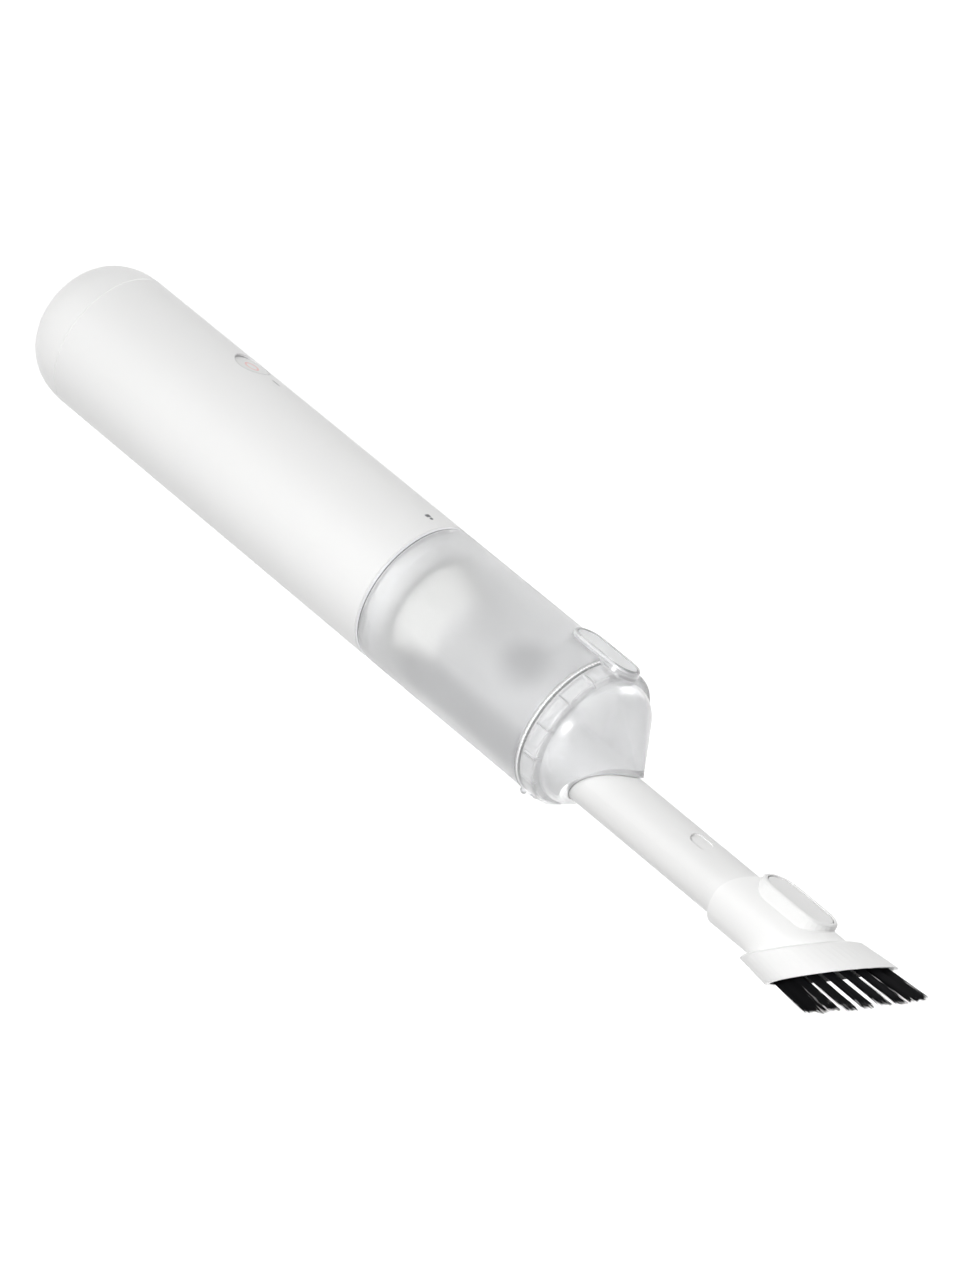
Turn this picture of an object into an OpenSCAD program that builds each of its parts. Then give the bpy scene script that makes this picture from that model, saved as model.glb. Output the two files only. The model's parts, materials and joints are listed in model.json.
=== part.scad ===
// Hand-held car vacuum cleaner with a frosted dust cup, a crevice nozzle and a sliding brush.
// It stands upright on its flat rear end: +Z runs along the body to the brush,
// -Y is the side with the buttons and +X is the side shown to the viewer.
// Sizes are in millimetres.

/* [Body] */
// Outer radius of the round body
body_r = 30; // [29.5:0.5:31]
// Wall of the body tube
body_wall = 2.4; // [2.1:0.1:2.7]
// Length of the rounded rear cap
cap_len = 24; // [23.5:0.5:26]
// Length that the flat rear end takes off the full rounded end
cap_flat = 3; // [2.5:0.25:3.5]
// Floor of the rear cap
cap_floor = 2.6; // [2.2:0.2:3]
// Roundness exponent of the rear cap, 2 is an ellipse
cap_power = 2.5; // [2.4:0.05:2.7]
// Length of the body tube
body_len = 179.3; // [176:0.5:200]
// Chamfer that draws a seam between two shells
seam = 0.35; // [0.25:0.05:0.45]
// Gap between pieces that move past each other
play = 0.3; // [0.25:0.05:0.35]

/* [Battery and controls] */
// Radius of a battery cell
cell_r = 9.2; // [8.9:0.1:9.4]
// Length of a battery cell
cell_len = 65; // [63:1:68]
// Distance between neighbouring cells
cell_gap = 0.8; // [0.7:0.1:1.2]
// Thickness of the two plates of the cell holder
plate_h = 4; // [3.6:0.2:5]
// Width of the control board
board_w = 22; // [20:0.5:23]
// Thickness of the circuit boards
board_h = 1.6; // [1.4:0.1:1.8]
// Depth of the control board below the surface of the body
board_drop = 12; // [11.8:0.1:12.2]

/* [Motor and fan] */
// Width of the rubber rings between the body tube and the motor sleeve
mount_w = 4.2; // [3.4:0.1:4.4]
// Wall of the motor sleeve and fan shroud
sleeve_wall = 1.9; // [1.6:0.1:2]
// Outer radius of the motor can
can_r = 15; // [14.8:0.1:15.4]
// Wall of the motor can
can_wall = 1.4; // [1.2:0.1:1.6]
// Length of the motor can without its front plate
can_len = 39.6; // [38.6:0.2:41]
// Radius of the motor shaft
shaft_r = 2; // [1.8:0.1:2.2]
// Running gap between the shaft and its bearings
shaft_fit = 0.05; // [0.04:0.01:0.08]
// Radius of the magnet core
rotor_r = 8.6; // [8.2:0.1:8.8]
// Space between the impeller and its shroud
fan_space = 1.5; // [1.2:0.1:2.5]
// Number of impeller blades
blades = 9; // [7:1:11]
// Number of diffuser vanes
vanes = 11; // [9:1:13]

/* [Filter] */
// Number of pleats around the filter
pleats = 36; // [30:2:40]
// Depth of a pleat at the filter's base
pleat_depth = 2.6; // [2.2:0.2:2.8]
// Length of the pleated cone
filter_len = 24.8; // [23.8:0.2:26]
// Radius over the pleats at the front of the cone
filter_tip_r = 14.1; // [13.7:0.1:14.6]
// Height of the domed filter cap
filter_cap_h = 5.5; // [5:0.25:6]

/* [Dust cup] */
// Length of the dust cup
cup_len = 88.4; // [86:0.5:100]
// Wall of the dust cup
cup_wall = 2; // [1.8:0.1:2.1]
// Thickness of the metal trim ring at the cup seam
trim_h = 1; // [0.8:0.1:1.2]
// Gap between the trim ring and the cup
cup_gap = 0.4; // [0.3:0.05:0.5]
// Space between the cup and the neck that it turns on
neck_space = 1.4; // [1.3:0.1:1.5]
// Length of the neck beyond the body tube
neck_len = 8.2; // [8:0.1:9]
// Width of a bayonet lug, in degrees
lug_width = 16; // [14:1:18]

/* [Front cover] */
// Gap between the cup and the front cover
lid_gap = 0.5; // [0.4:0.05:0.6]
// Height of the cover's outer band
ring_h = 9.4; // [9.2:0.2:11]
// Radius of the nose where it leaves the band
nose_r = 26.4; // [26.2:0.1:26.6]
// Rounding radius of the nose's shoulder
nose_arc = 9; // [8.5:0.25:9.5]
// Slope of the nose, in degrees off the body axis
nose_turn = 48.5; // [47.5:0.5:49.5]
// Wall of the front cover
cover_wall = 2; // [1.8:0.1:2.1]
// Wall of the nozzle socket that stands out of the nose
snout_wall = 1.2; // [1.1:0.05:1.4]
// Radius of the hinge barrel
barrel_r = 1.5; // [1.4:0.05:1.6]
// Radius of the hinge pin
hinge_pin_r = 0.8; // [0.7:0.05:0.85]

/* [Nozzle] */
// Outer radius of the nozzle tube
nozzle_r = 11; // [10.8:0.1:11.1]
// Wall of the nozzle tube
nozzle_wall = 1.6; // [1.5:0.1:1.7]
// Distance of the nozzle axis below the body axis
nozzle_drop = 11.2; // [11:0.1:11.4]
// Length of the nozzle tube along its axis
nozzle_len = 138.2; // [136:0.5:150]
// Running gap around the nozzle tube
slide_fit = 0.1; // [0.08:0.01:0.1]
// Depth of the detent recesses
detent_depth = 0.9; // [0.7:0.1:1]

/* [Brush head] */
// Wall of the brush collar around the nozzle
collar_wall = 2; // [1.9:0.05:2.2]
// Length from the collar's rear edge to the middle of the mouth
brush_len = 51.7; // [51:0.2:54]
// How far the middle of the mouth lies ahead of the nozzle's slanted end
mouth_lead = 11.1; // [10.8:0.1:12]
// Half width of the mouth
mouth_w = 20.4; // [20:0.1:21]
// Half height of the mouth, square to the nozzle
mouth_h = 16.8; // [16.6:0.1:17.4]
// Wall of the brush skirt
skirt_wall = 1.4; // [1.2:0.1:1.5]
// Depth of the mouth's cavity
mouth_depth = 9; // [8.6:0.1:9.4]
// Rise of the slanted mouth for each millimetre of height
slant = 1.09; // [1.05:0.01:1.12]
// How far the brush slides back along the nozzle
brush_travel = 34.2; // [32:0.2:36]

/* [Bristles] */
// Tufts around the mouth, a multiple of four
tufts = 20; // [16:4:20]
// Strands in each tuft
strands = 20; // [16:1:24]
// Strand radius over its three corners
strand_r = 0.15; // [0.13:0.01:0.16]
// Length of the strands in the middle of the mouth
bristle_len = 24.4; // [22:0.2:27]
// Outward lean of the tufts, in degrees
bristle_lean = 3; // [2:0.25:3.5]
// Thickness of the bristle bed
bed_h = 2; // [1.6:0.1:2.4]

/* [Buttons] */
// Radius of the round power button
power_r = 7.2; // [7:0.1:7.4]
// Distance of the power button from the body tube's rear edge
power_pos = 63; // [61:0.5:64]
// Travel of the power button
power_travel = 0.8; // [0.6:0.1:0.9]
// Length of the cup release button
release_len = 28.5; // [27.5:0.25:29]
// Width of the cup release button
release_w = 11.4; // [11:0.1:11.8]
// Travel of the cup release button
release_travel = 1.2; // [1:0.05:1.3]
// Length of the brush rocker button
rocker_len = 30.4; // [29.5:0.1:30.8]
// Width of the brush rocker button
rocker_w = 14.4; // [14:0.1:14.6]
// Wall of the housing around the rocker button
rocker_wall = 1.7; // [1.5:0.1:1.9]

/* [Hidden] */
$fn = 64;
tube_end = cap_len + body_len;
tube_ri = body_r - body_wall;
touch = 0.05;

board_y = body_r - board_drop;
holder_z = cap_len + 7;
cell_z = holder_z + plate_h / 2;
cell_top = cell_z + cell_len;
cell_ring = (2 * cell_r + cell_gap) / sqrt(3);
link_h = 0.3;
board_z = holder_z + 2.5;
board_top = cell_top + 8;
power_z = cap_len + power_pos;
light_z = power_z + 13.8;
press_floor = board_y + board_h + 4.7 + power_travel;

sleeve_r = tube_ri - mount_w;
sleeve_ri = sleeve_r - sleeve_wall;
fan_r = sleeve_ri - fan_space;
motor_z = tube_end - 77.3;
can_top = motor_z + can_len;
shroud_z = can_top + 0.4;
fan_z = can_top + 6.4;
fan_h = 10;
shroud_top = fan_z + fan_h + 4;
post_ring = fan_r - 1;
bulk_z = tube_end - 9.3;
bulk_h = 5;

trim_top = tube_end + trim_h;
cup_z = trim_top + cup_gap;
cup_top = cup_z + cup_len;
cup_ri = body_r - cup_wall;
neck_r = cup_ri - neck_space;
neck_ri = neck_r - 2;
neck_top = tube_end + neck_len;
neck_ledge = tube_end - 0.1;
hook_z = cup_z + 0.3;
hook_h = 1.2;
lug_z = hook_z + hook_h + 0.4;
lug_h = 1.6;
seal_groove = 0.5;
seal_r = (cup_ri - play - neck_r + seal_groove) / 2;
seal_z = neck_top - 1.5;

filter_z = neck_ledge + 3;
filter_top = filter_z + filter_len;
filter_base_r = neck_ri - 0.6;
paper = 0.4;

ring_z = cup_top + lid_gap;
face_z = ring_z + ring_h;
band_r = body_r - 0.4;
plug_r = cup_ri - 0.6;
plug_ri = plug_r - 1.5;
hinge_y = body_r - 0.3;
hinge_z = cup_top - barrel_r;
hinge_w = 2.9;

frame_z = cup_top - 3.75;
frame_top = body_r + 1.2;
frame_floor = body_r - 2.3;
pocket_floor = frame_floor + 0.5;
frame_len = release_len + 2.4;
frame_w = release_w + 2.6;

seat_z = cup_top - 4.1;
duct_z = seat_z - 2.6;
duct_ri = nozzle_r - nozzle_wall;
socket_ri = nozzle_r + slide_fit;
socket_r = socket_ri + 2;
flap_r = duct_ri + 1.5;
flap_h = 1.2;
flap_y = nozzle_drop - socket_r - 1.7;
flap_z = duct_z + 0.2;
flap_pin_r = 0.6;

tube_z = seat_z + play;
tip_z = tube_z + nozzle_len;
mouth_z = tip_z + mouth_lead;
collar_r = socket_ri + collar_wall;
collar_z = mouth_z - brush_len;
skirt_z = mouth_z - 17.4;
bed_z = mouth_z - mouth_depth;
rocker_z = mouth_z - 26.7;
leg_z = rocker_z - 10.5;
detent_turn = 27;
housing_top = collar_r + 2.1;
rocker_floor = collar_r - 1;
pin_h = rocker_floor + 1.5;
rocker_pin_r = 0.7;
rocker_top = housing_top - 0.3;

shell_white = [0.95, 0.95, 0.94];
frosted = [0.86, 0.87, 0.88];
bright_metal = [0.75, 0.75, 0.77];
dark_grey = [0.25, 0.25, 0.27];
rubber_grey = [0.35, 0.35, 0.37];
bristle_black = [0.05, 0.05, 0.06];
board_green = [0.1, 0.35, 0.2];
copper = [0.8, 0.5, 0.3];

// A plain ring between two radii, from height z0 over height h.
module ring(ro, ri, z0, h) {
    translate([0, 0, z0]) difference() {
        cylinder(r = ro, h = h);
        translate([0, 0, -1]) cylinder(r = ri, h = h + 2);
    }
}

// A flat oblong with round ends, its length along Y.
module oblong(l, w) {
    square([w, l - w], center = true);
    for (s = [-1, 1]) translate([0, s * (l - w) / 2]) circle(d = w);
}

// Stands its children on the button side: their Z points away from the body axis.
module on_top(z) {
    translate([0, 0, z]) rotate([90, 0, 0]) children();
}

// A rod along X between two places.
module cross_rod(r, x0, x1, y, z) {
    translate([x0, y, z]) rotate([0, 90, 0]) cylinder(r = r, h = x1 - x0);
}

// A wedge of the given half angle round the -Y direction, turned by a.
module wedge(a, half, r, z0, h) {
    rotate([0, 0, a - 90]) translate([0, 0, z0])
        rotate([0, 0, -half]) rotate_extrude(angle = 2 * half) square([r, h]);
}

module at_nozzle() {
    translate([0, nozzle_drop, 0]) children();
}

// Radius of the rounded cap at a depth behind the seam.
function cap_radius(r, depth, full) = r * pow(1 - pow(depth / full, cap_power), 1 / cap_power);

module rear_cap() {
    full = cap_len + cap_flat;
    outside = [for (i = [1:15]) let (d = cap_len * i / 15) [cap_radius(body_r, d, full), cap_len - d]];
    depth = cap_len - cap_floor;
    inside = [for (i = [7:-1:0]) let (d = depth * i / 7)
        [cap_radius(tube_ri, d, full - body_wall), cap_len - d]];
    color(shell_white) difference() {
        union() {
            rotate_extrude() polygon(concat([[body_r - seam, cap_len], [body_r, cap_len - seam]],
                outside, [[0, 0], [0, cap_floor]], inside));
            ring(tube_ri - touch, tube_ri - 1.6, cap_len - 5, 11);
            ring(9, 7.5, cap_floor - 0.1, 6.5);
        }
        translate([0, 0, -1]) linear_extrude(cap_floor + 2) rotate(90) oblong(9.3, 3.6);
        for (i = [0:9]) rotate([0, 0, i * 36 + 18]) translate([12.4, 0, -1])
            linear_extrude(cap_floor + 2) rotate(90) oblong(6, 2.6);
    }
}

module exhaust_foam() {
    foam_r = cap_radius(tube_ri, cap_len - cap_floor, cap_len + cap_flat - body_wall) - 0.3;
    color(dark_grey) ring(foam_r, 9.3, cap_floor, 4.4);
}

module charge_port() {
    board_seat = cap_floor + 6.4;
    color(bright_metal) translate([0, 0, 0.8]) {
        difference() {
            linear_extrude(board_seat - 0.8) rotate(90) oblong(9, 3.3);
            translate([0, 0, -1]) linear_extrude(board_seat - 1.6) rotate(90) oblong(8.3, 2.6);
        }
        translate([-3.3, -0.35, 0.8]) cube([6.6, 0.7, board_seat - 2.4]);
    }
}

module charge_board() {
    color(board_green) ring(13.5, 1.2, cap_floor + 6.4, board_h);
}

module body_tube() {
    color(shell_white) difference() {
        rotate_extrude() polygon([[tube_ri, cap_len], [body_r - seam, cap_len],
            [body_r, cap_len + seam], [body_r, tube_end - seam], [body_r - seam, tube_end],
            [tube_ri, tube_end]]);
        on_top(power_z) cylinder(r = power_r + play, h = body_r + 5);
        on_top(light_z) linear_extrude(body_r + 5) oblong(4.5, 1.2);
        rotate([0, 0, 12]) on_top(tube_end - 7.2) translate([0, 0, body_r - 0.4])
            linear_extrude(2) lock_mark();
    }
}

// Two small marks, a bar and a dot, that show where the cup locks.
module lock_mark() {
    translate([0, 1.1]) circle(r = 0.6);
    translate([0, -0.8]) square([1.1, 1.7], center = true);
}

module cell_places() {
    for (a = [90, 210, 330]) rotate([0, 0, a]) translate([cell_ring, 0, 0]) children();
}

// Nickel strips that join the three cells, grown by a clearance for the channels they lie in.
module link_shape(grow) {
    cell_places() circle(r = 4 + grow);
    for (a = [90, 210, 330]) rotate(a) translate([cell_ring / 2, 0])
        square([cell_ring, 5 + 2 * grow], center = true);
}

module battery_holder() {
    holder_r = tube_ri - 0.3;
    top_z = cell_top - plate_h / 2;
    color(dark_grey) difference() {
        union() {
            translate([0, 0, holder_z]) cylinder(r = holder_r, h = plate_h);
            translate([0, 0, top_z]) cylinder(r = holder_r, h = plate_h);
            for (a = [30, 90, 150, 230, 310]) rotate([0, 0, a - 8])
                translate([0, 0, holder_z + 1]) rotate_extrude(angle = 16)
                    translate([holder_r - 3.2, 0]) square([3, top_z - holder_z + 2]);
        }
        translate([0, 0, cell_z]) cell_places() cylinder(r = cell_r + 0.1, h = cell_len);
        translate([0, 0, cell_z - link_h]) linear_extrude(cell_len + 2 * link_h) link_shape(0.1);
        for (a = [15, 45, 135, 165]) rotate([0, 0, a])
            translate([holder_r - 6.4, 0, holder_z - 1]) cylinder(r = 2.9, h = board_top);
        translate([-board_w / 2 - 0.1, -board_y - board_h - 0.1, board_z])
            cube([board_w + 0.2, board_h + 0.2, board_top]);
        translate([-power_r - 2.5, -body_r, board_z + 5])
            cube([2 * power_r + 5, body_r - board_y - board_h + 0.1, board_top]);
    }
}

module battery_cells() {
    color([0.2, 0.45, 0.7]) cell_places() translate([0, 0, cell_z]) {
        cylinder(r = cell_r, h = cell_len);
    }
}

module cell_links() {
    color(bright_metal) for (z = [cell_z - link_h, cell_top])
        translate([0, 0, z]) linear_extrude(link_h) link_shape(0);
}

module control_board() {
    color(board_green) {
        translate([-board_w / 2, -board_y - board_h, board_z])
            cube([board_w, board_h, board_top - board_z]);
        translate([-4, -board_y - board_h - 1.4, holder_z + 14]) cube([8, 1.5, 8]);
        translate([-7.5, -board_y - board_h - 2.6, holder_z + 32]) cube([6, 2.7, 9]);
        translate([2, -board_y - board_h - 1.8, holder_z + 34]) cube([4.5, 1.9, 5]);
    }
}

module power_switch() {
    face = board_y + board_h;
    color(dark_grey) on_top(power_z) {
        translate([-3, -3, face]) cube([6, 6, 3.2]);
        translate([0, 0, face + 3.1]) cylinder(r = 1.6, h = 1.5);
    }
}

// A light guide from the board to the small window in front of the power button.
module status_light() {
    color([0.9, 0.92, 0.95]) on_top(light_z) intersection() {
        translate([0, 0, board_y + board_h]) linear_extrude(body_r) oblong(4.4, 1.1);
        rotate([90, 0, 0]) translate([0, 0, -5]) cylinder(r = body_r - 0.1, h = 10);
    }
}

module motor_sleeve() {
    color(dark_grey) ring(sleeve_r, sleeve_ri, motor_z - 2, shroud_z - motor_z + 2);
}

// Ribbed rubber rings that carry the motor inside the body tube.
module motor_mounts() {
    color(rubber_grey) for (z = [motor_z + 1, fan_z]) difference() {
        ring(tube_ri, sleeve_r, z, 5);
        for (i = [0:17]) rotate([0, 0, i * 20])
            translate([tube_ri, 0, z - 1]) cylinder(r = 1, h = 4);
    }
}

module motor_support() {
    z = motor_z + 2;
    span = sleeve_ri - can_r;
    rim = span / 4;
    color(dark_grey) {
        ring(sleeve_ri, sleeve_ri - rim, z, 4);
        ring(can_r + rim, can_r, z, 4);
        for (a = [30, 150, 270]) rotate([0, 0, a]) translate([can_r + rim / 2, -2, z])
            cube([span - rim, 4, 4]);
    }
}

module motor_can() {
    color(bright_metal) difference() {
        translate([0, 0, motor_z]) cylinder(r = can_r, h = can_len);
        translate([0, 0, motor_z + 3]) cylinder(r = can_r - can_wall, h = can_len);
        translate([0, 0, motor_z + 1]) cylinder(r = shaft_r + 2.5, h = 5);
        translate([0, 0, motor_z - 1]) cylinder(r = shaft_r + 0.6, h = 5);
        for (i = [0:5]) rotate([0, 0, i * 60]) translate([9.6, 0, motor_z - 1])
            cylinder(r = 2, h = 5);
    }
}

module motor_end() {
    color(bright_metal) difference() {
        translate([0, 0, can_top]) cylinder(r = can_r, h = 2.4);
        translate([0, 0, can_top - 1]) cylinder(r = shaft_r + 2.5, h = 2.4);
        translate([0, 0, can_top - 1]) cylinder(r = shaft_r + 0.6, h = 5);
        for (i = [0:5]) rotate([0, 0, i * 60]) translate([9.6, 0, can_top - 1])
            cylinder(r = 2, h = 5);
    }
}

module motor_bearings() {
    color(bright_metal) for (z = [motor_z + 1, can_top - 1.6])
        ring(shaft_r + 2.5, shaft_r + shaft_fit, z, 3);
}

module motor_stator() {
    ro = can_r - can_wall;
    color(bright_metal) {
        ring(ro, ro - 1.8, motor_z + 8, can_len - 13.6);
        for (i = [0:5]) rotate([0, 0, i * 60]) intersection() {
            translate([rotor_r + 0.3, -1.6, motor_z + 8])
                cube([ro - rotor_r - 1, 3.2, can_len - 13.6]);
            ring(ro - 1, rotor_r + 0.6, motor_z + 8, can_len - 13.6);
        }
    }
}

// One wound coil around each stator tooth.
module motor_coils() {
    ro = can_r - can_wall - 1.9;
    color(copper) for (i = [0:5]) rotate([0, 0, i * 60]) difference() {
        translate([rotor_r + 0.9, -2.6, motor_z + 6]) cube([ro - rotor_r - 1.1, 5.2, can_len - 9.6]);
        translate([0, -1.6, motor_z + 8]) cube([ro + 1, 3.2, can_len - 13.6]);
    }
}

module rotor_shaft() {
    color(bright_metal) translate([0, 0, motor_z - 4])
        cylinder(r = shaft_r, h = fan_z + fan_h + 3.5 - motor_z + 4);
}

module rotor_core() {
    color(dark_grey) ring(rotor_r, shaft_r, motor_z + 10, can_len - 17.6);
}

// The back-swept blades are arcs that start at the hub and leave at the rim.
module impeller() {
    bend = fan_r * 0.6;
    color(dark_grey) difference() {
        translate([0, 0, fan_z]) {
            cylinder(r = 4, h = fan_h);
            cylinder(r = fan_r, h = 1.2);
            linear_extrude(fan_h - 0.8) for (i = [0:blades - 1]) rotate(i * 360 / blades)
                intersection() {
                    translate([0, bend]) difference() {
                        circle(r = bend + 0.5);
                        circle(r = bend - 0.5);
                    }
                    difference() {
                        circle(r = fan_r - 0.2);
                        circle(r = 3.8);
                    }
                    translate([0, -fan_r]) square([fan_r, 2 * fan_r]);
                }
        }
        translate([0, 0, fan_z - 1]) cylinder(r = shaft_r, h = fan_h + 2);
    }
}

module impeller_nut() {
    color(bright_metal) translate([0, 0, fan_z + fan_h]) difference() {
        cylinder(r = shaft_r + 1.6, h = 2.4, $fn = 6);
        translate([0, 0, -1]) cylinder(r = shaft_r, h = 5);
    }
}

// Curved vanes between two rings turn the air from the fan down past the motor.
module diffuser() {
    z = shroud_z - 8;
    mid = (can_r + sleeve_ri) / 2;
    span = sleeve_ri - can_r;
    color(dark_grey) {
        ring(sleeve_ri, sleeve_ri - 1, z, 8);
        ring(can_r + 1, can_r, z, 8);
        for (i = [0:vanes - 1]) rotate([0, 0, i * 360 / vanes]) intersection() {
            ring(sleeve_ri - 0.5, can_r + 0.5, z, 8);
            translate([can_r, 0, z - 3]) rotate([0, 90, 0]) difference() {
                cylinder(r = 11, h = span);
                translate([0, 0, -1]) cylinder(r = 10, h = span + 2);
            }
            translate([can_r, 0, z - 1]) cube([span, 12, 12]);
        }
    }
}

module fan_shroud() {
    color(shell_white) difference() {
        union() {
            translate([0, 0, shroud_z]) cylinder(r = sleeve_r, h = shroud_top - shroud_z);
            for (a = [90, 210, 330]) rotate([0, 0, a]) translate([post_ring, 0, shroud_top - 1])
                cylinder(r = 3.2, h = bulk_z - shroud_top + 1);
        }
        translate([0, 0, shroud_z - 1]) cylinder(r = sleeve_ri, h = shroud_top - shroud_z - 1);
        translate([0, 0, shroud_top - 3]) cylinder(r = 9, h = 5);
        for (a = [90, 210, 330]) rotate([0, 0, a]) translate([post_ring, 0, bulk_z - 6])
            cylinder(r = 1, h = 8);
    }
}

// The bulkhead carries the neck, the bayonet lugs and the seat of the filter.
module bulkhead() {
    color(shell_white) difference() {
        union() {
            ring(tube_ri - touch, post_ring - 3.5, bulk_z, bulk_h);
            ring(neck_r, neck_ri, bulk_z + bulk_h - 0.1, neck_top - bulk_z - bulk_h + 0.1);
            ring(neck_ri + 0.1, neck_ri - 3.1, bulk_z + bulk_h - 0.1,
                neck_ledge - bulk_z - bulk_h + 0.1);
            ring(5, 4, bulk_z + 1.5, 2);
            ring(10, 9, bulk_z + 1.5, 2);
            for (i = [0:5]) rotate([0, 0, i * 60]) translate([4.5, -0.75, bulk_z + 1.5])
                cube([post_ring - 7.5, 1.5, 2]);
            intersection() {
                ring(cup_ri - play, neck_r - 0.1, lug_z, lug_h);
                for (a = [0, 120, 240]) wedge(a, lug_width / 2, body_r, lug_z, lug_h);
            }
        }
        translate([0, 0, seal_z]) rotate_extrude() translate([neck_r - seal_groove + seal_r, 0])
            circle(r = seal_r);
        for (a = [90, 210, 330]) rotate([0, 0, a]) translate([post_ring, 0, bulk_z]) {
            translate([0, 0, -1]) cylinder(r = 1, h = bulk_h + 2);
            translate([0, 0, bulk_h - 2]) cylinder(r = 2.4, h = 3);
        }
    }
}

module bulkhead_screws() {
    color(bright_metal) for (a = [90, 210, 330]) rotate([0, 0, a])
        translate([post_ring, 0, bulk_z]) difference() {
            union() {
                translate([0, 0, -5.8]) cylinder(r = 1, h = bulk_h + 4.3);
                translate([0, 0, bulk_h - 2]) cylinder(r = 2.3, h = 1.6);
            }
            translate([-1.4, -0.25, bulk_h - 1]) cube([2.8, 0.5, 2]);
            translate([-0.25, -1.4, bulk_h - 1]) cube([0.5, 2.8, 2]);
        }
}

module trim_ring() {
    color(bright_metal) ring(body_r - 0.3, neck_r + touch, tube_end, trim_h);
}

module neck_seal() {
    color(rubber_grey) translate([0, 0, seal_z]) rotate_extrude()
        translate([neck_r - seal_groove + seal_r, 0]) circle(r = seal_r);
}

module filter_seal() {
    color(rubber_grey) ring(neck_ri - 0.4, neck_ri - 3, neck_ledge, 1);
}

// The flange and the open cone that hold the pleated paper.
module filter_frame() {
    valley = filter_base_r - pleat_depth - paper;
    tip = (filter_base_r - pleat_depth) * filter_tip_r / filter_base_r - paper;
    color(shell_white) difference() {
        union() {
            ring(neck_ri - play, valley - 1.2, neck_ledge + 1, 2);
            rotate_extrude() polygon([[valley - 1, filter_z - 0.1], [valley, filter_z - 0.1],
                [tip - 0.2, filter_top], [tip - 1.2, filter_top]]);
        }
        for (i = [0:5]) wedge(i * 60, 24, body_r, filter_z + 2, filter_len - 5);
    }
}

// Pleated paper: a star drawn at the base and narrowed to the front.
module hepa_filter() {
    star = [for (i = [0:2 * pleats - 1]) let (a = i * 180 / pleats,
        r = i % 2 == 0 ? filter_base_r : filter_base_r - pleat_depth) [r * cos(a), r * sin(a)]];
    hollow = [for (i = [0:2 * pleats - 1]) let (a = i * 180 / pleats,
        r = (i % 2 == 0 ? filter_base_r - 2.4 * paper : filter_base_r - pleat_depth - paper))
        [r * cos(a), r * sin(a)]];
    color([0.93, 0.93, 0.9]) translate([0, 0, filter_z])
        linear_extrude(filter_len, scale = filter_tip_r / filter_base_r) difference() {
            polygon(star);
            polygon(hollow);
        }
}

module filter_cap() {
    rim = filter_tip_r + 0.2;
    ball = (pow(rim - 0.8, 2) + pow(filter_cap_h - 1.4, 2)) / (2 * (filter_cap_h - 1.4));
    color(shell_white) translate([0, 0, filter_top]) {
        cylinder(r = rim, h = 1.4);
        intersection() {
            translate([0, 0, filter_cap_h - ball]) sphere(r = ball);
            cylinder(r = rim - 0.8, h = filter_cap_h);
        }
    }
}

module power_button() {
    color(shell_white) on_top(power_z) difference() {
        union() {
            translate([0, 0, press_floor]) cylinder(r = power_r + 1.6, h = 0.75);
            translate([0, 0, press_floor]) cylinder(r = power_r, h = body_r - 1 - press_floor);
        }
        translate([0, 0, body_r - 1.6]) ring(3.1, 2.3, 0, 2);
    }
}

module light_ring() {
    color([0.95, 0.55, 0.55]) on_top(power_z) ring(3.1, 2.3, body_r - 1.6, 0.6);
}

// The block on the cup that frames the release button and reaches over the front cover.
module frame_block(grow) {
    on_top(frame_z) hull() {
        translate([0, 0, frame_floor - grow]) linear_extrude(0.1, $fn = 32)
            oblong(frame_len + 1.7 + 2 * grow, frame_w + 1.8 + 2 * grow);
        translate([0, 0, frame_top - 0.5 + grow]) linear_extrude(0.1, $fn = 32)
            oblong(frame_len + 0.5 + 2 * grow, frame_w + 0.5 + 2 * grow);
        translate([0, 0, frame_top - 0.1 + grow]) linear_extrude(0.1, $fn = 32)
            oblong(frame_len - 0.4 + 2 * grow, frame_w - 0.4 + 2 * grow);
    }
}

module dust_cup() {
    color(frosted) difference() {
        union() {
            rotate_extrude() polygon([[cup_ri, cup_z], [body_r - seam, cup_z],
                [body_r, cup_z + seam], [body_r, cup_top], [cup_ri, cup_top]]);
            intersection() {
                ring(cup_ri + 0.5, neck_r + play, hook_z, hook_h);
                for (a = [0, 120, 240]) wedge(a, 10, body_r, hook_z, hook_h);
            }
            cross_rod(barrel_r, -hinge_w - 4.1, hinge_w + 4.1, hinge_y, hinge_z);
        }
        translate([-hinge_w - play, cup_ri - 1.5, hinge_z - barrel_r - play])
            cube([2 * (hinge_w + play), 6, 3 * barrel_r]);
        cross_rod(hinge_pin_r, -hinge_w - 5, hinge_w + 5, hinge_y, hinge_z);
        frame_block(0);
        on_top(frame_z - 4) translate([0, 0, frame_floor - 5]) linear_extrude(10) oblong(9, 4);
    }
}

module release_frame() {
    color(frosted) difference() {
        frame_block(0);
        on_top(frame_z) translate([0, 0, pocket_floor]) linear_extrude(5)
            oblong(release_len + 2 * play, release_w + 2 * play);
        on_top(frame_z - 4) translate([0, 0, frame_floor - 5]) linear_extrude(10) oblong(9, 4);
    }
}

module hinge_pin() {
    color(bright_metal)
        cross_rod(hinge_pin_r, -hinge_w - 4, hinge_w + 4, hinge_y, hinge_z);
}

// The stem passes through the cup's wall to a lever with the hook that holds the cover.
module release_button() {
    z = frame_z - 4;
    color(frosted) union() {
        on_top(frame_z) translate([0, 0, frame_top - 1.6]) linear_extrude(1.3)
            oblong(release_len, release_w);
        on_top(z) translate([0, 0, cup_ri - 4.6]) linear_extrude(frame_top - cup_ri + 3.2)
            oblong(7.6, 3.4);
        translate([-1.7, -cup_ri + 3.6, z - 2]) cube([3.4, 1, ring_z + 4.4 - z + 2]);
        translate([-1.7, -cup_ri + 3, ring_z + 2.4]) cube([3.4, 1, 2]);
    }
}

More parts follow.
